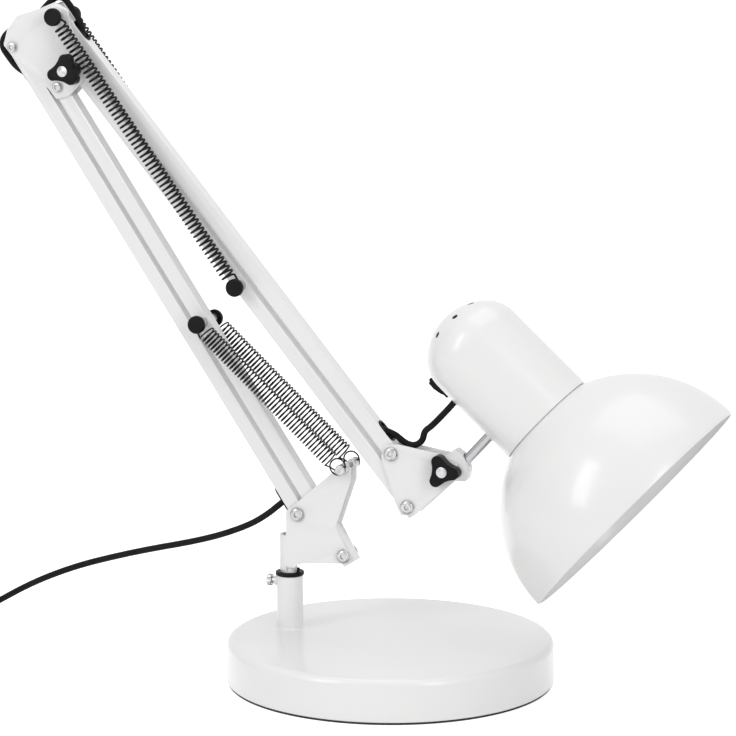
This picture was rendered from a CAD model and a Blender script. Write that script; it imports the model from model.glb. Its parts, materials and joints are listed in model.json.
import bpy
import bmesh
import json
import math
from mathutils import Matrix, Vector


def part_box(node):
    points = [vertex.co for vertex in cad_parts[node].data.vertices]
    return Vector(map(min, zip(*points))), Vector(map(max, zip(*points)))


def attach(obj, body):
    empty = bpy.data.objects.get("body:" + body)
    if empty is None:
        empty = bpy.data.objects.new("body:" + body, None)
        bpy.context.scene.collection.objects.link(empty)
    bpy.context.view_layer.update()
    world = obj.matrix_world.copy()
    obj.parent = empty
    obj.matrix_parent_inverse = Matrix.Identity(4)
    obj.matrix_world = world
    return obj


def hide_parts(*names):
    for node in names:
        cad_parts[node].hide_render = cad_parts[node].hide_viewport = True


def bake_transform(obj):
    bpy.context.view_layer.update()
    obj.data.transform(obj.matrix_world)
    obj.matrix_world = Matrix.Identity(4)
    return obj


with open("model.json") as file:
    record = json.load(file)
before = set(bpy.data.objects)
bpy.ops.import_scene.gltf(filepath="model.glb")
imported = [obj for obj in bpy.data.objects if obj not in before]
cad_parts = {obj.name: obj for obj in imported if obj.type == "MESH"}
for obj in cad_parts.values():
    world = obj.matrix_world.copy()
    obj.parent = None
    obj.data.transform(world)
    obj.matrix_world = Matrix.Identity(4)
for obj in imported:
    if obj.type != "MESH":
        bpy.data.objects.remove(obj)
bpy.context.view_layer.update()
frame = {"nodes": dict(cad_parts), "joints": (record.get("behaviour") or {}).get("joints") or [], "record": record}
nodes = frame["nodes"]
record = frame["record"]
mm = 0.001

bodyOf = {n: b for b, members in record["behaviour"]["bodies"].items() for n in members}
slotOf = {s["node"]: s["material_slot"] for s in record["subparts"]}
pivot = {j["name"]: Vector(j["pos_m"]) for j in frame["joints"] if "pos_m" in j}
jointWay = {j["name"]: Vector(j["axis"]) for j in frame["joints"]}
print("frame loaded:", len(nodes), "nodes")


# Finishes, all made of noise on object coordinates

def newFinish(name, colour, roughness, metallic=0.0):
    finish = bpy.data.materials.new(name)
    finish.use_nodes = True
    shader = finish.node_tree.nodes["Principled BSDF"]
    shader.inputs["Base Color"].default_value = (*colour, 1)
    shader.inputs["Roughness"].default_value = roughness
    shader.inputs["Metallic"].default_value = metallic
    return finish, shader


def grain(finish, scale, detail=3.0, stretch=(1, 1, 1)):
    tree = finish.node_tree
    place = tree.nodes.new("ShaderNodeTexCoord")
    turn = tree.nodes.new("ShaderNodeMapping")
    turn.inputs["Scale"].default_value = stretch
    noise = tree.nodes.new("ShaderNodeTexNoise")
    noise.inputs["Scale"].default_value = scale
    noise.inputs["Detail"].default_value = detail
    tree.links.new(place.outputs["Object"], turn.inputs["Vector"])
    tree.links.new(turn.outputs["Vector"], noise.inputs["Vector"])
    return noise.outputs["Fac"]


def ramp(finish, source, low, high, lowAt=0.3, highAt=0.7):
    node = finish.node_tree.nodes.new("ShaderNodeMapRange")
    node.inputs["From Min"].default_value = lowAt
    node.inputs["From Max"].default_value = highAt
    node.inputs["To Min"].default_value = low
    node.inputs["To Max"].default_value = high
    finish.node_tree.links.new(source, node.inputs["Value"])
    return node.outputs["Result"]


def tint(finish, source, dark, light, lowAt=0.35, highAt=0.65):
    node = finish.node_tree.nodes.new("ShaderNodeValToRGB")
    node.color_ramp.elements[0].color = (*dark, 1)
    node.color_ramp.elements[1].color = (*light, 1)
    node.color_ramp.elements[0].position = lowAt
    node.color_ramp.elements[1].position = highAt
    finish.node_tree.links.new(source, node.inputs["Fac"])
    return node.outputs["Color"]


def bumpFrom(finish, shader, source, strength, distance):
    node = finish.node_tree.nodes.new("ShaderNodeBump")
    node.inputs["Strength"].default_value = strength
    node.inputs["Distance"].default_value = distance
    finish.node_tree.links.new(source, node.inputs["Height"])
    finish.node_tree.links.new(node.outputs["Normal"], shader.inputs["Normal"])


def feed(finish, source, shader, socket):
    finish.node_tree.links.new(source, shader.inputs[socket])


def makeWhiteEnamel():
    finish, shader = newFinish("whiteEnamel", (0.83, 0.83, 0.825), 0.3)
    shader.inputs["Coat Weight"].default_value = 0.35
    shader.inputs["Coat Roughness"].default_value = 0.12
    cloud = grain(finish, 16, 1)
    white = tint(finish, cloud, (0.826, 0.826, 0.822), (0.838, 0.838, 0.835), 0.1, 0.9)
    feed(finish, white, shader, "Base Color")
    feed(finish, ramp(finish, cloud, 0.27, 0.32, 0.1, 0.9), shader, "Roughness")
    bumpFrom(finish, shader, grain(finish, 420, 1), 0.012, 0.0002)  # faint orange peel of sprayed enamel
    return finish


def makeBlackPlastic():
    finish, shader = newFinish("blackPlastic", (0.005, 0.005, 0.0055), 0.4)
    shader.inputs["Specular IOR Level"].default_value = 0.09
    fine = grain(finish, 900, 3)
    black = tint(finish, grain(finish, 60, 2), (0.006, 0.006, 0.007), (0.011, 0.011, 0.012))
    feed(finish, black, shader, "Base Color")
    feed(finish, ramp(finish, fine, 0.34, 0.46), shader, "Roughness")
    bumpFrom(finish, shader, fine, 0.12, 0.0002)
    return finish


def makeZincSteel():
    finish, shader = newFinish("zincSteel", (0.5, 0.5, 0.51), 0.26, 1.0)
    streak = grain(finish, 420, 3, (1, 0.25, 1))
    feed(finish, tint(finish, streak, (0.4, 0.4, 0.41), (0.58, 0.58, 0.59)), shader, "Base Color")
    feed(finish, ramp(finish, streak, 0.2, 0.36), shader, "Roughness")
    bumpFrom(finish, shader, streak, 0.05, 0.0002)
    return finish


def makeChromeRod():
    finish, shader = newFinish("chromeRod", (0.42, 0.42, 0.43), 0.12, 1.0)
    streak = grain(finish, 260, 2)
    feed(finish, ramp(finish, streak, 0.09, 0.17), shader, "Roughness")
    return finish


def makeSpringWire():
    finish, shader = newFinish("springWire", (0.01, 0.01, 0.011), 0.4)
    shader.inputs["Specular IOR Level"].default_value = 0.12
    patch = grain(finish, 300, 3)
    feed(finish, tint(finish, patch, (0.006, 0.006, 0.0065), (0.013, 0.013, 0.014)), shader, "Base Color")
    feed(finish, ramp(finish, patch, 0.28, 0.42), shader, "Roughness")
    return finish


def makeCordSheath():
    finish, shader = newFinish("cordSheath", (0.005, 0.005, 0.0055), 0.5)
    shader.inputs["Specular IOR Level"].default_value = 0.08
    fine = grain(finish, 700, 3)
    black = tint(finish, grain(finish, 90, 2), (0.007, 0.007, 0.008), (0.013, 0.013, 0.014))
    feed(finish, black, shader, "Base Color")
    feed(finish, ramp(finish, fine, 0.42, 0.58), shader, "Roughness")
    bumpFrom(finish, shader, fine, 0.15, 0.0002)
    return finish


def makePadRubber():
    finish, shader = newFinish("padRubber", (0.02, 0.02, 0.02), 0.85)
    pores = grain(finish, 1500, 4)
    feed(finish, tint(finish, pores, (0.012, 0.012, 0.012), (0.03, 0.03, 0.03)), shader, "Base Color")
    bumpFrom(finish, shader, pores, 0.4, 0.0003)
    return finish


def makeHolderPorcelain():
    finish, shader = newFinish("holderPlastic", (0.72, 0.71, 0.68), 0.4)
    fine = grain(finish, 500, 3)
    feed(finish, tint(finish, fine, (0.69, 0.68, 0.65), (0.75, 0.74, 0.71)), shader, "Base Color")
    feed(finish, ramp(finish, fine, 0.34, 0.46), shader, "Roughness")
    return finish


def makeFrostedGlass():
    finish, shader = newFinish("frostedGlass", (0.86, 0.86, 0.845), 0.42)
    shader.inputs["Subsurface Weight"].default_value = 0.35
    shader.inputs["Subsurface Radius"].default_value = (0.01, 0.01, 0.01)
    frost = grain(finish, 1800, 3)
    feed(finish, ramp(finish, frost, 0.36, 0.5), shader, "Roughness")
    bumpFrom(finish, shader, frost, 0.06, 0.0001)
    return finish


def makeCastIron():
    finish, shader = newFinish("castWeight", (0.12, 0.12, 0.125), 0.7, 0.5)
    pits = grain(finish, 260, 5)
    feed(finish, tint(finish, pits, (0.07, 0.07, 0.075), (0.16, 0.16, 0.165)), shader, "Base Color")
    bumpFrom(finish, shader, pits, 0.5, 0.0006)
    return finish


finishOf = {
    "white_paint": makeWhiteEnamel(),
    "black_plastic": makeBlackPlastic(),
    "zinc_steel": makeZincSteel(),
    "chrome_rod": makeChromeRod(),
    "spring_wire": makeSpringWire(),
    "black_cord": makeCordSheath(),
    "rubber_pad": makePadRubber(),
    "holder_plastic": makeHolderPorcelain(),
    "bulb_metal": makeZincSteel(),
    "frosted_glass": makeFrostedGlass(),
    "cast_weight": makeCastIron(),
}
for nodeName, node in nodes.items():
    node.data.materials.clear()
    node.data.materials.append(finishOf[slotOf[nodeName]])
print("finishes made:", len(finishOf))


# Helpers for new pieces

def asPiece(bm, name, nodeName, replaced=(), rideOn=None, sharpAngle=35):
    mesh = bpy.data.meshes.new(name)
    bm.to_mesh(mesh)
    bm.free()
    mesh.materials.append(finishOf[slotOf[nodeName]])
    for face in mesh.polygons:
        face.use_smooth = True
    mesh.set_sharp_from_angle(angle=math.radians(sharpAngle))
    piece = bpy.data.objects.new(name, mesh)
    bpy.context.scene.collection.objects.link(piece)
    if rideOn != "blended":
        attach(piece, rideOn or bodyOf[nodeName])
    if replaced:
        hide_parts(*replaced)
    return piece


def standOn(origin, axis, across=None):
    up = Vector(axis).normalized()
    side = Vector(across) if across else (Vector((0, 1, 0)) if abs(up.y) < 0.9 else Vector((1, 0, 0)))
    third = up.cross(side).normalized()
    side = third.cross(up).normalized()
    turn = Matrix((side, third, up)).transposed().to_4x4()
    turn.translation = Vector(origin)
    return turn


def turned(profile, place, steps=96):  # profile: (radius, height) in millimetres round the local Z axis
    bm = bmesh.new()
    ring = [bm.verts.new((r * mm, 0, h * mm)) for r, h in profile]
    edges = [bm.edges.new((a, b)) for a, b in zip(ring, ring[1:])]
    if profile[0][0] > 1e-6 or profile[-1][0] > 1e-6:
        edges.append(bm.edges.new((ring[-1], ring[0])))
    bmesh.ops.spin(
        bm, geom=ring + edges, cent=(0, 0, 0), axis=(0, 0, 1), angle=2 * math.pi, steps=steps, use_merge=True)
    bmesh.ops.remove_doubles(bm, verts=bm.verts, dist=1e-6)
    bmesh.ops.recalc_face_normals(bm, faces=bm.faces)
    bmesh.ops.transform(bm, matrix=place, verts=bm.verts)
    return bm


def arcOf(cr, ch, radius, fromDeg, toDeg, count=6):
    turns = [math.radians(fromDeg + (toDeg - fromDeg) * k / count) for k in range(count + 1)]
    return [(cr + radius * math.cos(t), ch + radius * math.sin(t)) for t in turns]


def joined(first, *others):
    for other in others:
        shape = bpy.data.meshes.new("joining")
        other.to_mesh(shape)
        other.free()
        first.from_mesh(shape)
        bpy.data.meshes.remove(shape)
    return first


def softened(nodeName, width, segments=2, angle=38):
    bm = bmesh.new()
    bm.from_mesh(nodes[nodeName].data)
    bmesh.ops.remove_doubles(bm, verts=bm.verts, dist=2e-6)
    bmesh.ops.dissolve_limit(bm, angle_limit=math.radians(0.6), verts=bm.verts, edges=bm.edges)
    piece = asPiece(bm, nodeName + ".soft", nodeName, (nodeName,), sharpAngle=180)
    edge = piece.modifiers.new("softEdge", "BEVEL")
    edge.width = width * mm
    edge.segments = segments
    edge.limit_method = "ANGLE"
    edge.angle_limit = math.radians(angle)
    edge.harden_normals = True
    return piece


def cutOut(bm, cutters):
    body = bpy.data.meshes.new("cutting")
    bm.to_mesh(body)
    bm.free()
    block = bpy.data.objects.new("cutting", body)
    bpy.context.scene.collection.objects.link(block)
    tool = bpy.data.meshes.new("cutter")
    cutters.to_mesh(tool)
    cutters.free()
    knife = bpy.data.objects.new("cutter", tool)
    bpy.context.scene.collection.objects.link(knife)
    cut = block.modifiers.new("cut", "BOOLEAN")
    cut.operation = "DIFFERENCE"
    cut.solver = "EXACT"
    cut.object = knife
    bpy.context.view_layer.update()
    result = bmesh.new()
    result.from_object(block, bpy.context.evaluated_depsgraph_get())
    bpy.data.objects.remove(block)
    bpy.data.objects.remove(knife)
    return result


# Base, post and bushing

base = dict(radius=100, height=27, edge=4.5, wall=1.6, pad=1.5, setback=0.8)
post = dict(x=pivot["base_swivel"].x / mm, radius=8.2, wall=1.5, top=60.5, bottom=1.5, edge=0.4, weld=1.1)
bushing = dict(
    radius=8.8, low=60.5, high=62.8, depth=6, edge=0.6, bore=5.65,
    pegRing=7.6, pegAngle=-26, pegRadius=0.95, pegTop=66.2, pegEdge=0.3,
)
clampScrew = dict(
    z=56.2, start=5.9, shank=2.0, headFrom=11.3, headRadius=3.7, headLength=3.2, edge=0.5,
    bossRadius=3.2, bossTo=9.6, bossLength=2.8, ridges=56, knurl=0.18,
)


def makeBase():
    r, h, e, w = base["radius"], base["height"], base["edge"], base["wall"]
    outer = [(r - w, base["pad"]), (r - 0.4, base["pad"]), (r, base["pad"] + 0.4)]
    outer += arcOf(r - e, h - e, e, 0, 90, 10) + [(r * 0.6, h), (r * 0.3, h), (0, h)]
    inner = [(0, h - w), (r - e, h - w)] + arcOf(r - e, h - e, e - w, 90, 0, 6)
    asPiece(turned(outer + inner, Matrix.Identity(4), 160), "baseCover", "base_shell", ("base_shell",))
    pr = r - base["setback"]
    pad = [(0, 0), (pr - 0.3, 0), (pr, 0.3), (pr, base["pad"]), (0, base["pad"])]
    asPiece(turned(pad, Matrix.Identity(4), 128), "basePad", "base_pad", ("base_pad",))


def makePost():
    place = Matrix.Translation((post["x"] * mm, 0, 0))
    r, w, low, high = post["radius"], post["wall"], post["bottom"], post["top"]
    edge, weld = post["edge"], post["weld"]
    tube = turned([(r, low), (r, high - edge), (r - edge, high), (r - w, high), (r - w, low)], place, 72)
    seam = arcOf(r + weld, base["height"] + weld, weld, 180, 270, 5)
    seam += [(r - 0.3, base["height"]), (r - 0.3, base["height"] + weld)]
    b, length = clampScrew["bossRadius"], clampScrew["bossLength"]
    foot = ((post["x"] - clampScrew["bossTo"] + length) * mm, 0, clampScrew["z"] * mm)
    line = [(0, 0), (b, 0), (b, length - edge), (b - edge, length), (0, length)]
    boss = turned(line, standOn(foot, (-1, 0, 0)), 32)
    asPiece(joined(tube, turned(seam, place, 72), boss), "postTube", "post_tube", ("post_tube",))


def makeBushing():
    b = bushing
    place = Matrix.Translation((post["x"] * mm, 0, 0))
    low, high, r, edge = b["low"], b["high"], b["radius"], b["edge"]
    inside, foot = post["radius"] - post["wall"] - 0.05, low - b["depth"]
    ring = [(b["bore"], foot), (b["bore"], high), (r - edge, high)]
    ring += arcOf(r - edge, high - edge, edge, 90, 0, 4) + arcOf(r - edge, low + edge, edge, 0, -90, 4)
    ring += [(inside, low), (inside, foot)]
    p, top, slope = b["pegRadius"], b["pegTop"], b["pegEdge"]
    line = [(0, high - 0.5), (p, high - 0.5), (p, top - slope), (p - slope, top), (0, top)]
    at = math.radians(b["pegAngle"])
    spot = ((post["x"] + b["pegRing"] * math.cos(at)) * mm, b["pegRing"] * math.sin(at) * mm, 0)
    peg = turned(line, Matrix.Translation(spot), 20)
    asPiece(joined(turned(ring, place, 72), peg), "bushingFlange", "tube_bushing", ("tube_bushing",))


def makeClampScrew():
    s = clampScrew
    r, edge = s["headRadius"], s["edge"]
    start = Vector(((post["x"] - s["start"]) * mm, 0, s["z"] * mm))
    neck, end = s["headFrom"] - s["start"], s["headFrom"] + s["headLength"] - s["start"]
    profile = [(0, 0), (s["shank"], 0), (s["shank"], neck), (r - edge, neck), (r, neck + edge)]
    profile += [(r, end - edge), (r - edge, end), (1.2, end), (1.0, end - 0.4), (0, end - 0.4)]
    bm = turned(profile, standOn(start, (-1, 0, 0)), s["ridges"])
    for v in bm.verts:  # every other ridge of the rim sinks for the knurl
        out = Vector((0, v.co.y, v.co.z - s["z"] * mm))
        step = round(math.atan2(out.z, out.y) / (2 * math.pi / s["ridges"]))
        if out.length > (r - 0.2) * mm and step % 2:
            v.co -= out.normalized() * s["knurl"] * mm
    asPiece(bm, "clampScrew", "thumb_screw", ("thumb_screw",), sharpAngle=30)


makeBase()
makePost()
makeBushing()
makeClampScrew()
print("base and post built")


# Bent sheet, bars and knobs come from the frame and get softened edges

edgeWidth = dict(
    lower_bracket=0.45, elbow_bracket=0.45, head_bracket=0.45, head_fork=0.8,
    lower_outer_bar=0.95, lower_inner_bar=0.95, upper_outer_bar=0.95, upper_inner_bar=0.95,
    elbow_knob=0.3, tilt_knob=0.3,
    lower_bar_grommets=0.4, upper_bar_grommets=0.4, mains_plug=0.5, coil_tie=0.3,
    elbow_clamp_bolt=0.3, tilt_bolt=0.3, rod_nut=0.3,
)
for nodeName, width in edgeWidth.items():
    softened(nodeName, width, 3 if nodeName.endswith("_bar") else 2)


bolt = dict(headRadius=4.3, headHeight=2.3, rivetRadius=3.2, shank=2.5, socketRadius=1.5, socketDepth=0.9)
halfWidth = 6.25  # out to the outside of the cheeks, from the middle of the arms


def boltHead(spot, radius, side):
    t, h, depth = bolt["socketRadius"], bolt["headHeight"], bolt["socketDepth"]
    seat = Vector((spot.x, side * halfWidth * mm, spot.z))
    profile = [(0, -1.2), (2.4, -1.2), (2.4, 0)]
    profile += [(radius, 1.0), (radius - 0.15, h * 0.62), (radius * 0.8, h * 0.93), (radius * 0.55, h)]
    profile += [(t, h), (t - 0.2, h - 0.25), (t * 0.85, h - depth), (0, h - depth - 0.1)]
    return turned(profile, standOn(seat, (0, side, 0)), 40)


def makeBolts(name, nodeName, spots, radius):
    heads = [boltHead(p, radius, side) for p in spots for side in (-1, 1)]
    r, length = bolt["shank"], 2 * halfWidth - 0.4
    line = [(0, 0), (r, 0), (r, length), (0, length)]
    shanks = [turned(line, standOn((p.x, -(halfWidth - 0.2) * mm, p.z), (0, 1, 0)), 32) for p in spots]
    asPiece(joined(*heads, *shanks), name, nodeName, (nodeName,), sharpAngle=40)


lowerRun = pivot["elbow_turn"] - pivot["lower_arm_lift"]
upperRun = pivot["carrier_turn"] - pivot["upper_arm_lift"]
innerTop = pivot["lower_inner_turn"] + lowerRun
innerFoot = pivot["upper_inner_turn"] + upperRun
lowerFeet = [pivot["lower_arm_lift"], pivot["lower_inner_turn"]]
makeBolts("lowerBolts", "lower_pivot_bolts", lowerFeet, bolt["headRadius"])
makeBolts("elbowRivets", "elbow_rivets", [pivot["elbow_turn"], innerTop], bolt["rivetRadius"])
makeBolts("headBolts", "head_pivot_bolts", [pivot["carrier_turn"], innerFoot], bolt["headRadius"])
print("brackets, bars and bolts built")


# Springs and what they hang on

spring = dict(
    side=12.2, loop=3.75, hook=5.05, wire=0.55, lead=7.2, perTurn=10, open=1.068, eyeLead=6.4,
    loopPoints=9, loopFrom=62, loopStep=30, loopOpen=1.04, hookPoints=12, hookBack=22, hookOpen=1.03,
)
wireInside, wireOutside = (spring["side"] + way * (spring["wire"] + 0.05) for way in (-1, 1))
lowerWinding = dict(radius=5.05, wire=0.5, turns=46)
upperWinding = dict(radius=4.05, wire=0.68, turns=60)
pinCap = dict(radius=5.5, height=3.6, start=12.8, dish=1.6)
crossPin = dict(radius=2.0, spacer=3.4, spacerFrom=4.4, edge=0.2, end=14.5, barRadius=2.5, barEnd=6.2)
studShape = dict(inside=4.8, radius=1.7, collar=3.2, edge=0.2, head=2.0, crown=1.0)
lowerPin = Vector([(a + b) / 2 for a, b in zip(*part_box("lower_spring_caps"))])
upperPin = Vector([(a + b) / 2 for a, b in zip(*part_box("upper_spring_caps"))])
stud = pivot["lower_hook_turn"]
elbowPin = pivot["upper_arm_lift"]


def wireTube(points, thickness, sides=2):
    line = bpy.data.curves.new("wire", "CURVE")
    line.dimensions = "3D"
    strand = line.splines.new("NURBS")
    strand.points.add(len(points) - 1)
    for spot, p in zip(strand.points, points):
        spot.co = (*p, 1)
    strand.order_u = 4
    strand.use_endpoint_u = True
    strand.resolution_u = 2
    line.bevel_depth = thickness * mm
    line.bevel_resolution = sides
    line.use_fill_caps = True
    holder = bpy.data.objects.new("wire", line)
    bpy.context.scene.collection.objects.link(holder)
    bm = bmesh.new()
    bm.from_mesh(bpy.data.meshes.new_from_object(holder.evaluated_get(bpy.context.evaluated_depsgraph_get())))
    bpy.data.objects.remove(holder)
    bmesh.ops.remove_doubles(bm, verts=bm.verts, dist=1e-7)
    bmesh.ops.recalc_face_normals(bm, faces=bm.faces)
    return bm


def axesBetween(a, b):
    u = (b - a).normalized()
    return u, Vector((-u.z, 0, u.x)), (b - a).length


def springBody(a, b, y, first, winding):
    u, n, length = axesBetween(a, b)
    e = Vector((0, 1, 0))
    start = Vector((a.x, y * mm, a.z))
    last = length - spring["lead"] * mm
    count = winding["turns"] * spring["perTurn"]
    reach = winding["radius"] * spring["open"] * mm  # control points stand outside the round they make
    points = []
    for k in range(count + 1):
        phase = 2 * math.pi * k / spring["perTurn"]
        away = first * mm + (last - first * mm) * k / count
        points.append(start + u * away + (n * math.cos(phase) + e * math.sin(phase)) * reach)
    pin = Vector((b.x, y * mm, b.z))
    r = spring["loop"] * mm
    points.append(pin - u * (spring["lead"] * 0.8 * mm) + n * winding["radius"] * mm)
    points.append(pin - u * (spring["lead"] * 0.5 * mm) + n * r)
    for k in range(spring["loopPoints"]):
        t = math.radians(spring["loopFrom"] + spring["loopStep"] * k)
        points.append(pin + (n * math.sin(t) - u * math.cos(t)) * r * spring["loopOpen"])
    return wireTube(points, winding["wire"])


def hookEnd(a, b, y, centre, ringRadius, opening, first, winding):
    u, n = axesBetween(a, b)[:2]
    middle = Vector((a.x, y * mm, a.z)) + u * centre * mm
    points = []
    last = spring["hookPoints"]
    for k in range(last + 1):  # the last point is drawn back, where the hook leaves for the coils
        t = math.radians(-180 + opening + (360 - opening) * k / last - spring["hookBack"] * (k == last))
        points.append(middle + (u * math.cos(t) + n * math.sin(t)) * ringRadius * mm * spring["hookOpen"])
    seat = Vector((a.x, y * mm, a.z)) + u * first * mm
    points += [seat - u * 1.2 * mm + n * winding["radius"] * 0.75 * mm, seat + n * winding["radius"] * mm]
    return wireTube(points, winding["wire"])


def makeSprings(name, a, b, first, winding, coilNode, hookNode, ends):
    tubes = [springBody(a, b, y, first, winding) for y in (-spring["side"], spring["side"])]
    coils = asPiece(joined(*tubes), name, coilNode, (coilNode,), rideOn="blended", sharpAngle=180)
    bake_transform(coils)
    rings = [hookEnd(a, b, y, *ends, first, winding) for y in (-spring["side"], spring["side"])]
    asPiece(joined(*rings), name + "Hooks", hookNode, (hookNode,), sharpAngle=180)


hookCentre = spring["hook"] - spring["wire"] - 1.75
lowerStart = hookCentre + spring["hook"] + 1.2
makeSprings("lowerSprings", stud, lowerPin, lowerStart, lowerWinding, "lower_springs", "lower_spring_hooks",
            (hookCentre, spring["hook"], 40))
makeSprings("upperSprings", elbowPin, upperPin, spring["eyeLead"], upperWinding, "upper_springs",
            "upper_spring_eyes", (0, spring["loop"], 30))


def makePinCaps(name, nodeName, spot):
    r, h, dish, start = pinCap["radius"], pinCap["height"], pinCap["dish"], pinCap["start"]
    profile = [(0, 0.4), (2.2, 0.4), (2.2, 0), (r - 0.3, 0), (r, 0.3)]
    profile += arcOf(r - dish, h - dish, dish, 0, 90, 8) + [(1.6, h - 0.05), (0, h)]
    caps = [turned(profile, standOn((spot.x, side * start * mm, spot.z), (0, side, 0)), 48) for side in (-1, 1)]
    asPiece(joined(*caps), name, nodeName, (nodeName,), sharpAngle=40)


makePinCaps("lowerPinCaps", "lower_spring_caps", lowerPin)
makePinCaps("upperPinCaps", "upper_spring_caps", upperPin)
makePinCaps("elbowPinCaps", "elbow_spring_caps", elbowPin)


def makePin(name, nodeName, spot, spacerFrom, extra=()):
    r, s, e, end = crossPin["radius"], crossPin["spacer"], crossPin["edge"], crossPin["end"]
    profile = [(0, 0), (r, 0), (r, spacerFrom), (s - e, spacerFrom), (s, spacerFrom + e)]
    profile += [(s, wireInside - e), (s - e, wireInside), (r, wireInside), (r, end), (0, end)]
    parts = [turned(profile, standOn((spot.x, 0, spot.z), (0, side, 0)), 40) for side in (-1, 1)]
    asPiece(joined(*parts, *extra), name, nodeName, (nodeName,), sharpAngle=40)


makePin("lowerSpringPin", "lower_spring_pin", lowerPin, crossPin["spacerFrom"])
makePin("upperSpringPin", "upper_spring_pin", upperPin, crossPin["spacerFrom"])
barRadius, barEnd = crossPin["barRadius"], crossPin["barEnd"]
barLine = [(0, -barEnd), (barRadius, -barEnd), (barRadius, barEnd), (0, barEnd)]
crossBar = turned(barLine, standOn(elbowPin, (0, 1, 0)), 32)
makePin("elbowSpringPin", "elbow_spring_pin", elbowPin, halfWidth, (crossBar,))


def makeStuds():
    d = studShape
    r, c, e = d["radius"], d["collar"], d["edge"]
    profile = [(0, d["inside"]), (r, d["inside"]), (r, halfWidth), (c - e, halfWidth), (c, halfWidth + e)]
    profile += [(c, wireInside - e), (c - e, wireInside), (r, wireInside), (r, wireOutside)]
    profile += [(c - e, wireOutside), (c, wireOutside + e)]
    profile += arcOf(c - d["crown"], wireOutside + d["crown"], d["crown"], 0, 90, 5)
    profile.append((0, wireOutside + d["head"]))
    parts = [turned(profile, standOn((stud.x, 0, stud.z), (0, side, 0)), 40) for side in (-1, 1)]
    asPiece(joined(*parts), "springStuds", "spring_studs", ("spring_studs",), sharpAngle=40)


makeStuds()
print("springs hung")


# Head: housing, shade, holder and bulb

rodWay = jointWay["head_swivel"].normalized()
headUp = Vector((-rodWay.z, 0, rodWay.x))
headPlace = standOn(pivot["head_swivel"], headUp, -rodWay)  # local X to the arm, Z to the top of the dome
housing = dict(
    radius=31.7, wall=1.5, bottom=-18.3, length=86.1, dome=26.0, corner=22.0, rodHole=3.2,
    vents=8, ventRing=19.5, ventRadius=1.9, ventStart=32.5, linerFrom=50, linerWall=0.45, ventSunk=0.3,
)
shade = dict(radius=80.3, wall=1.2, collar=10.0, lip=0.25, rimAngle=0.6)
holder = dict(low=-7.0, high=34.0, radius=19, bore=13.5, flange=30.1, capSeat=9.0)
bulb = dict(
    radius=30, length=105, capLength=24, threads=5, pitch=3.6, firstThread=4.2,
    neck=13.5, glassWall=0.8, waist=20, waistReach=17, neckReach=14, neckFrom=36.2, neckSteps=12, mouth=20,
)
rod = dict(radius=3.15, edge=0.4)
switch = dict(
    z=41.5, height=15.5, width=10.0, gap=4.6, bezel=1.7, edge=0.35, frame=0.4, depth=7.6, well=6.6,
    tilt=11, pivot=31.5,
)
rocker = dict(end=7.25, sweep=20, crown=1.1, flat=2.5, width=8.8, edge=0.3)
cordHole = dict(radius=3.0, flange=3.9, inside=3.0, edge=0.3, round=0.6)
cordDiameter = 4.0
grommetHeight = switch["z"] - switch["height"] / 2 - switch["gap"]


def housingLine(inset):
    h = housing
    radius, corner, height = h["radius"] - inset, h["corner"] - inset, h["dome"] - inset
    level = h["bottom"] + h["length"] - h["dome"]
    crown = ((radius - corner) ** 2 + height ** 2 - corner ** 2) / (2 * (height - corner))
    lean = math.degrees(math.atan2(crown - height, radius - corner))
    line = arcOf(radius - corner, level, corner, 0, lean, 12)
    return line + arcOf(0, level + height - crown, crown, lean, 90, 14)[1:]


def ventSpots():
    turns = [math.radians(housing["ventStart"] + 360 * k / housing["vents"]) for k in range(housing["vents"])]
    return [(housing["ventRing"] * mm * math.cos(t), housing["ventRing"] * mm * math.sin(t)) for t in turns]


def drill(place, radius, depth, segments):
    bm = bmesh.new()
    bmesh.ops.create_cone(
        bm, cap_ends=True, segments=segments, radius1=radius * mm, radius2=radius * mm, depth=depth * mm,
        matrix=place)
    return bm


def boxAtSwitch(x, thickness, width, height):
    bm = bmesh.new()
    size = Matrix.Diagonal((thickness * mm, width * mm, height * mm, 1))
    middle = Matrix.Translation((x * mm, 0, switch["z"] * mm))
    bmesh.ops.create_cube(bm, size=1.0, matrix=middle @ size)
    return bm


def makeHousing():
    h = housing
    r, low = h["radius"], h["bottom"]
    outer = [(r - h["wall"], low), (r - 0.35, low), (r, low + 0.35), (r, low + 20), (r, low + 40)] + housingLine(0)
    shell = turned(outer + housingLine(h["wall"])[::-1], Matrix.Identity(4), 128)
    ventHeight = (low + h["length"] - 8) * mm
    holes = [drill(Matrix.Translation((x, y, ventHeight)), h["ventRadius"], 40, 24) for x, y in ventSpots()]
    for z, radius in ((0, h["rodHole"]), (grommetHeight, cordHole["radius"] + 0.05)):
        place = Matrix.Translation((r * mm, 0, z * mm)) @ Matrix.Rotation(math.pi / 2, 4, "Y")
        holes.append(drill(place, radius, 12, 32))
    holes.append(boxAtSwitch(r, 12, switch["width"] - 0.4, switch["height"] - 0.4))
    shell = cutOut(shell, joined(*holes))
    bmesh.ops.transform(shell, matrix=headPlace, verts=shell.verts)
    asPiece(shell, "lampHousing", "socket_housing", ("socket_housing",), sharpAngle=32)


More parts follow.
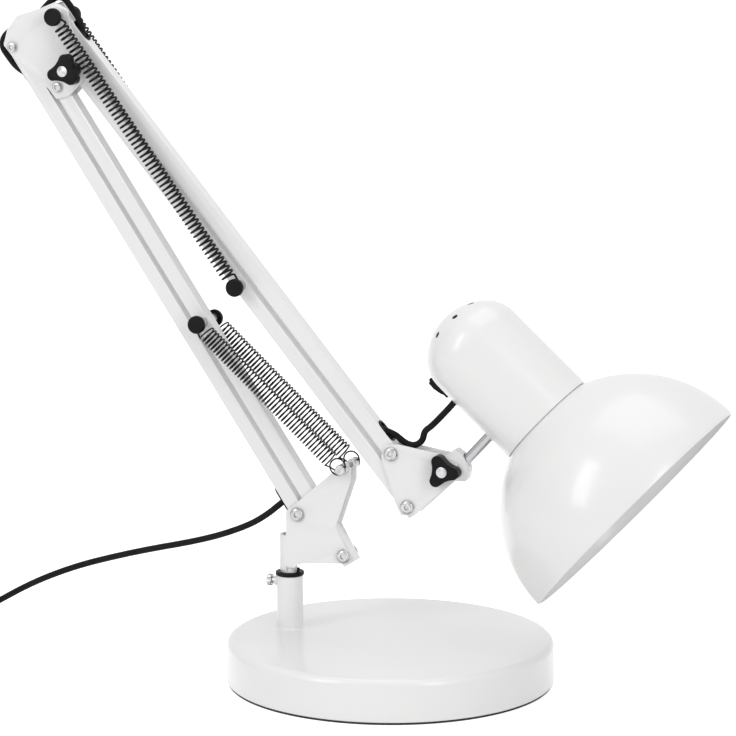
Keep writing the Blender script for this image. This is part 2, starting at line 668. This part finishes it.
def makeShade():
    r, low, lip, rim = shade["radius"], housing["bottom"], shade["lip"], shade["rimAngle"]
    inside = housing["radius"] - housing["wall"]
    centre = low - math.sqrt(r ** 2 - inside ** 2)
    collar, under = inside - 0.05, r - shade["wall"]
    neck, top = collar - shade["wall"], low + shade["collar"]
    line = arcOf(0, centre, r, rim, math.degrees(math.acos(collar / r)), 44)
    line += [(collar, low + 0.5), (collar, top), (neck, top)]
    line += arcOf(0, centre, under, math.degrees(math.acos(neck / under)), rim, 44)
    line += [(under - 0.1, centre + 0.3), (under + lip, centre), (r - lip, centre)]
    asPiece(turned(line, headPlace, 192), "lampShade", "shade", ("shade",), sharpAngle=40)


def makeHolder():
    seat = housing["bottom"] + shade["collar"]
    low, high, r = seat + holder["low"], seat + holder["high"], holder["radius"]
    bore, flange, capTop = holder["bore"], holder["flange"], high - holder["capSeat"]
    line = [(bore, low), (r - 0.6, low), (r, low + 0.6), (r, seat), (flange, seat), (flange, seat + 2)]
    line += [(r + 0.6, seat + 2), (r, seat + 2.6), (r, high - 3), (r - 3, high), (0, high)]
    line += [(0, capTop), (bore, capTop)]
    asPiece(turned(line, headPlace, 72), "lampHolder", "lampholder", ("lampholder",), sharpAngle=32)
    return capTop


def makeBulb(capTop):
    cap = [(0, capTop), (4.4, capTop), (5.0, capTop - 0.5), (11.2, capTop - 3)]
    for k in range(bulb["threads"]):
        z = capTop - bulb["firstThread"] - bulb["pitch"] * k
        cap += [(12.1, z + 0.9), (13.1, z), (13.1, z - 0.5), (12.1, z - 1.5)]
    glassTop = capTop - bulb["capLength"]
    cap += [(12.9, glassTop + 0.8), (13.2, glassTop), (0, glassTop)]
    asPiece(turned(cap, headPlace, 64), "bulbCap", "bulb_cap", ("bulb_cap",), sharpAngle=50)
    globe = capTop - bulb["length"] + bulb["radius"]
    ball = arcOf(0, globe, bulb["radius"], -90, bulb["waist"], 30)
    lean = math.radians(bulb["waist"])
    a, d = Vector(ball[-1]), Vector((bulb["neck"], globe + bulb["neckFrom"]))
    b = a + Vector((-math.sin(lean), math.cos(lean))) * bulb["waistReach"]
    c = d - Vector((0, bulb["neckReach"]))
    side = []
    for k in range(1, bulb["neckSteps"] + 1):  # from the ball into the neck
        t = k / bulb["neckSteps"]
        side.append(tuple(a * (1 - t) ** 3 + b * 3 * t * (1 - t) ** 2 + c * 3 * t * t * (1 - t) + d * t ** 3))
    inside, mouth = bulb["neck"] - bulb["glassWall"], globe + bulb["mouth"]
    glass = ball + side + [(bulb["neck"], glassTop), (inside, glassTop), (inside, mouth), (0, mouth)]
    asPiece(turned(glass, headPlace, 96), "bulbGlass", "bulb_glass", ("bulb_glass",), sharpAngle=40)


def makeRod():
    r, e = rod["radius"], rod["edge"]
    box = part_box("head_rod")
    half = ((box[1][0] - box[0][0]) / mm - 2 * r * abs(rodWay.z)) / rodWay.x / 2
    middle = Vector([(a + b) / 2 for a, b in zip(*box)])
    line = [(0, -half), (r - e, -half), (r, -half + e), (r, half - e), (r - e, half), (0, half)]
    asPiece(turned(line, standOn(middle, rodWay), 48), "headRod", "head_rod", ("head_rod",), sharpAngle=40)


def makeDomeLiner():  # a dark lining and a dark disc in each vent, so that the vents read as holes
    h = housing
    gap = h["wall"] + 0.05
    outside = [p for p in housingLine(gap) if p[1] > h["linerFrom"]]
    inside = [p for p in housingLine(gap + h["linerWall"]) if p[1] > h["linerFrom"]]
    liner = turned(outside + inside[::-1], Matrix.Identity(4), 64)
    sunk = housingLine(h["ventSunk"])
    for x, y in ventSpots():
        disc = bmesh.new()
        bmesh.ops.create_circle(
            disc, cap_ends=True, cap_tris=True, segments=24, radius=(h["ventRadius"] - 0.02) * mm,
            matrix=Matrix.Translation((x, y, 0)))
        for v in disc.verts:  # lifted on to the line of the dome
            r = math.hypot(v.co.x, v.co.y) / mm
            (r1, z1), (r2, z2) = next(pair for pair in zip(sunk, sunk[1:]) if pair[1][0] <= r <= pair[0][0])
            v.co.z = (z1 + (z2 - z1) * (r1 - r) / (r1 - r2)) * mm
        joined(liner, disc)
    bmesh.ops.transform(liner, matrix=headPlace, verts=liner.verts)
    asPiece(liner, "domeLiner", "housing_grommet", sharpAngle=40)


def makeSwitch():
    w, r = switch, housing["radius"]
    whole = boxAtSwitch(r + 0.05 + w["bezel"] / 2, w["bezel"], w["width"], w["height"])
    bmesh.ops.bevel(
        whole, geom=whole.edges[:], offset=w["edge"] * mm, segments=2, profile=0.5, affect="EDGES", material=-1)
    front = max(whole.faces, key=lambda f: f.calc_center_median().x * 1000 + f.calc_area())
    bmesh.ops.inset_region(whole, faces=[front], thickness=(w["frame"] - w["edge"]) * mm)
    well = bmesh.ops.extrude_face_region(whole, geom=[front])
    floor = [v for v in well["geom"] if isinstance(v, bmesh.types.BMVert)]
    bmesh.ops.translate(whole, vec=(-w["well"] * mm, 0, 0), verts=floor)
    bmesh.ops.delete(whole, geom=[front], context="FACES_ONLY")
    box = boxAtSwitch(r + 0.1 - w["depth"] / 2, w["depth"], w["width"] - 0.5, w["height"] - 0.5)
    bmesh.ops.delete(box, geom=[f for f in box.faces if f.normal.x > 0.9], context="FACES_ONLY")
    joined(whole, box)
    bmesh.ops.transform(whole, matrix=headPlace, verts=whole.verts)
    asPiece(whole, "switchFrame", "switch_body", ("switch_body",), sharpAngle=30)


def makeRocker():
    r = rocker
    turns = [math.radians(r["sweep"] * k / 2) for k in (-2, -1, 0, 1, 2)]
    outline = [(r["end"] * math.sin(t), r["end"] * math.cos(t)) for t in turns]
    front = outline[-1][0] + r["crown"]
    outline += [(front, r["flat"]), (front, -r["flat"])] + [(x, -z) for x, z in outline[::-1]]
    bm = bmesh.new()
    side = bm.faces.new([bm.verts.new((x * mm, -r["width"] / 2 * mm, z * mm)) for x, z in outline])
    grown = bmesh.ops.extrude_face_region(bm, geom=[side])
    far = [v for v in grown["geom"] if isinstance(v, bmesh.types.BMVert)]
    bmesh.ops.translate(bm, vec=(0, r["width"] * mm, 0), verts=far)
    bmesh.ops.recalc_face_normals(bm, faces=bm.faces)
    bmesh.ops.bevel(
        bm, geom=bm.edges[:], offset=r["edge"] * mm, segments=2, profile=0.5, affect="EDGES", material=-1)
    tilt = Matrix.Rotation(math.radians(switch["tilt"]), 4, "Y")
    at = Matrix.Translation((switch["pivot"] * mm, 0, switch["z"] * mm))
    bmesh.ops.transform(bm, matrix=headPlace @ at @ tilt, verts=bm.verts)
    asPiece(bm, "switchRocker", "rocker", ("rocker",), sharpAngle=35)


def makeCordHole():
    c = cordHole
    r, flange, e, foot = c["radius"], c["flange"], c["edge"], c["inside"] + 0.05
    start = headPlace @ Vector(((housing["radius"] - c["inside"]) * mm, 0, grommetHeight * mm))
    bore = cordDiameter / 2 + 0.05
    line = [(bore, 0), (r, 0), (r, foot), (flange - e, foot), (flange, foot + e)]
    line += arcOf(flange - c["round"], foot + c["round"], c["round"], 0, 90, 4)
    line += [(bore + e, foot + 2 * c["round"]), (bore, foot + 2 * c["round"] - e)]
    grommet = turned(line, standOn(start, -rodWay), 40)
    asPiece(grommet, "housingGrommet", "housing_grommet", ("housing_grommet",), sharpAngle=40)


makeHousing()
makeShade()
makeBulb(makeHolder())
makeRod()
makeDomeLiner()
makeSwitch()
makeRocker()
makeCordHole()
print("head built")


# Cords

coil = dict(
    inner=12.0, step=4.7, layer=4.7, loops=5, x=-334.0, y=-38.0, bottom=3.2, lead=34.0,
    perTurn=12, climb=5, tail=4.0, open=1.035,
)
elbowCordRoute = [
    (-192.4, 0, 374.6), (-199.6, 0, 383.1), (-201.2, 0, 396.8), (-209.3, 0, 407.6), (-212.8, 0, 411.4),
    (-218.0, 0, 411.6), (-223.0, 0, 407.6), (-229.5, 0, 400.9), (-234.7, 0, 399.2), (-240.0, 0, 397.4),
    (-247.9, 0, 391.6), (-254.3, 0, 386.3), (-255.3, 0, 380.1), (-251.7, 0, 375.1), (-245.0, 0, 367.0),
    (-232.3, 0, 361.6), (-225.2, 0, 350.9),
]
headCordRoute = [
    (-26.9, 0, 176.9), (-10.2, 0, 156.9), (-3.8, 0, 155.1), (2.6, 0, 153.3), (7.4, 0, 149.4),
    (11.6, 0, 147.2), (16.2, 0, 147.1), (20.6, 0, 150.4), (21.5, 0, 156.3), (24.1, 0, 158.1),
    (26.7, 0, 159.8), (46.8, 0, 182.0), (48.2, 0, 192.0),
]
supplyRoute = [
    (-65.1, 0, 110.1), (-72.3, 0, 104.1), (-81.0, 0, 96.8), (-92.6, -0.4, 89.6), (-112.4, -0.8, 81.6),
    (-123.2, -0.9, 78.5), (-134.0, -1.0, 75.4), (-155.7, -0.8, 70.2), (-180.0, -0.2, 63.6),
    (-210.8, 0.6, 54.0), (-241.0, 1.0, 41.0), (-268.0, 0.6, 25.4), (-290.0, -0.6, 12.4),
    (-308.0, -2.0, 5.6), (-319.0, -2.5, 3.2), (-330.0, -2.5, 3.2),
]


def routeLine(points):
    line = bpy.data.curves.new("route", "CURVE")
    line.dimensions = "3D"
    strand = line.splines.new("NURBS")
    strand.points.add(len(points) - 1)
    for spot, p in zip(strand.points, points):
        spot.co = (p[0] * mm, p[1] * mm, p[2] * mm, 1)
    strand.order_u = 3
    strand.use_endpoint_u = True
    strand.resolution_u = 10
    return line


def cordTube(points, sides=5):
    line = routeLine(points)
    holder = bpy.data.objects.new("route", line)
    bpy.context.scene.collection.objects.link(holder)
    bare = bpy.data.meshes.new_from_object(holder.evaluated_get(bpy.context.evaluated_depsgraph_get()))
    path = [v.co.copy() for v in bare.vertices]
    line.bevel_depth = cordDiameter / 2 * mm
    line.bevel_resolution = sides
    line.use_fill_caps = True
    bpy.context.view_layer.update()
    bm = bmesh.new()
    bm.from_mesh(bpy.data.meshes.new_from_object(holder.evaluated_get(bpy.context.evaluated_depsgraph_get())))
    bpy.data.objects.remove(holder)
    bmesh.ops.remove_doubles(bm, verts=bm.verts, dist=1e-7)
    bmesh.ops.recalc_face_normals(bm, faces=bm.faces)
    return bm, path


def makeJumper(name, nodeName, points, replaced=()):
    bm, path = cordTube(points)
    piece = asPiece(bm, name, nodeName, replaced, rideOn="blended", sharpAngle=60)
    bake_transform(piece)


makeJumper("elbowCordTop", "elbow_cord", elbowCordRoute[:9],
           ("elbow_cord",))
makeJumper("elbowCordBack", "elbow_cord", elbowCordRoute[8:])
makeJumper("headCordBar", "head_cord", headCordRoute[:3],
           ("head_cord",))
makeJumper("headCordBridge", "head_cord", headCordRoute[2:10])
makeJumper("headCordHousing", "head_cord", headCordRoute[9:])
makeJumper("supplyCordArm", "power_cord", supplyRoute[:6],
           ("power_cord",))
makeJumper("supplyCordFree", "power_cord", supplyRoute[5:])


def coilPoint(angle, radius, z):  # control points stand outside the round they make
    r = radius * coil["open"]
    return coil["x"] + r * math.cos(angle), coil["y"] + r * math.sin(angle), z


def spiralPoints(fromAngle, fromRadius, grow, z):
    turns = [2 * math.pi * k / coil["perTurn"] for k in range(coil["perTurn"] * coil["loops"] + 1)]
    return [coilPoint(fromAngle + t, fromRadius + grow * t / (2 * math.pi), z) for t in turns]


def makeWinding():  # in along the floor, up at the middle and out again on top
    c = coil
    outer, top = c["inner"] + c["step"] * c["loops"], c["bottom"] + c["layer"]
    wound = [(c["x"] + c["tail"], c["y"] + outer, c["bottom"])]
    wound += spiralPoints(math.pi / 2, outer, -c["step"], c["bottom"])
    for k in range(1, c["climb"] + 1):
        share = k / (c["climb"] + 1)
        wound.append(coilPoint(math.pi / 2 + math.pi * share, c["inner"], c["bottom"] + c["layer"] * share))
    wound += spiralPoints(-math.pi / 2, c["inner"], c["step"], top)
    wound.append((c["x"] + c["lead"], c["y"] - outer, top))
    bm, path = cordTube(wound, 3)
    winding = asPiece(bm, "cordWinding", "cord_coil", ("cord_coil",), sharpAngle=60)


makeWinding()
print("cords laid")


# Floor, light and camera

studio = dict(floor=(0.86, 0.86, 0.86), floorSize=14, floorGlow=0.62, sky=0.62)


def seenRays(tree):  # camera, mirror and glass rays all see the white background
    rays = tree.nodes.new("ShaderNodeLightPath")
    last = rays.outputs["Is Camera Ray"]
    for kind in ("Is Glossy Ray", "Is Transmission Ray"):
        either = tree.nodes.new("ShaderNodeMath")
        either.operation = "MAXIMUM"
        tree.links.new(last, either.inputs[0])
        tree.links.new(rays.outputs[kind], either.inputs[1])
        last = either.outputs[0]
    return last


def makeFloor():
    bm = bmesh.new()
    bmesh.ops.create_grid(bm, x_segments=1, y_segments=1, size=studio["floorSize"])
    mesh = bpy.data.meshes.new("studioFloor")
    bm.to_mesh(mesh)
    bm.free()
    floor = bpy.data.objects.new("studioFloor", mesh)
    bpy.context.scene.collection.objects.link(floor)
    finish, shader = newFinish("paleFloor", studio["floor"], 0.9)
    tree = finish.node_tree
    glow = tree.nodes.new("ShaderNodeEmission")
    glow.inputs["Color"].default_value = (1, 1, 1, 1)
    either = seenRays(tree)
    strength = tree.nodes.new("ShaderNodeMath")
    strength.operation = "MULTIPLY"
    strength.inputs[1].default_value = studio["floorGlow"]
    tree.links.new(either, strength.inputs[0])
    tree.links.new(strength.outputs[0], glow.inputs["Strength"])
    both = tree.nodes.new("ShaderNodeAddShader")
    tree.links.new(shader.outputs[0], both.inputs[0])
    tree.links.new(glow.outputs[0], both.inputs[1])
    tree.links.new(both.outputs[0], tree.nodes["Material Output"].inputs["Surface"])
    mesh.materials.append(finish)


def makeSky():
    world = bpy.data.worlds.new("studioSky")
    bpy.context.scene.world = world
    world.use_nodes = True
    tree = world.node_tree
    back = tree.nodes["Background"]
    back.inputs["Color"].default_value = (1, 1, 1, 1)
    level = tree.nodes.new("ShaderNodeMapRange")
    level.inputs["To Min"].default_value = studio["sky"]
    level.inputs["To Max"].default_value = 1.0
    tree.links.new(seenRays(tree), level.inputs["Value"])
    tree.links.new(level.outputs["Result"], back.inputs["Strength"])


def softbox(name, place, aim, size, power):
    lamp = bpy.data.lights.new(name, "AREA")
    lamp.shape = "RECTANGLE"
    lamp.size, lamp.size_y = size
    lamp.energy = power
    holder = bpy.data.objects.new(name, lamp)
    bpy.context.scene.collection.objects.link(holder)
    holder.location = place
    holder.rotation_euler = (Vector(aim) - Vector(place)).to_track_quat("-Z", "Y").to_euler()


photoView = dict(
    place=(0.61098, -1.73316, 0.51352), pitch=9.8807, heading=19.8455, focal=3099.8, pixels=736, sensor=36)


def makeCamera():
    v = photoView
    lens = bpy.data.cameras.new("photoCamera")
    lens.sensor_width = v["sensor"]
    lens.lens = v["focal"] / v["pixels"] * v["sensor"]
    lens.clip_end = 60
    camera = bpy.data.objects.new("photoCamera", lens)
    bpy.context.scene.collection.objects.link(camera)
    camera.location = v["place"]
    camera.rotation_euler = (math.radians(90 - v["pitch"]), 0, math.radians(v["heading"]))
    bpy.context.scene.camera = camera


makeFloor()
makeSky()
softbox("softboxLeft", (-0.9, -1.5, 1.1), (0, 0, 0.2), (0.5, 1.3), 8.0)
softbox("softboxRight", (1.5, -1.2, 1.0), (0.05, 0, 0.2), (0.5, 1.3), 7.5)
softbox("softboxTop", (0.1, 0.2, 2.0), (0, 0, 0), (1.6, 1.6), 8.0)
makeCamera()
bpy.context.scene.view_settings.view_transform = "Standard"
print("studio set")
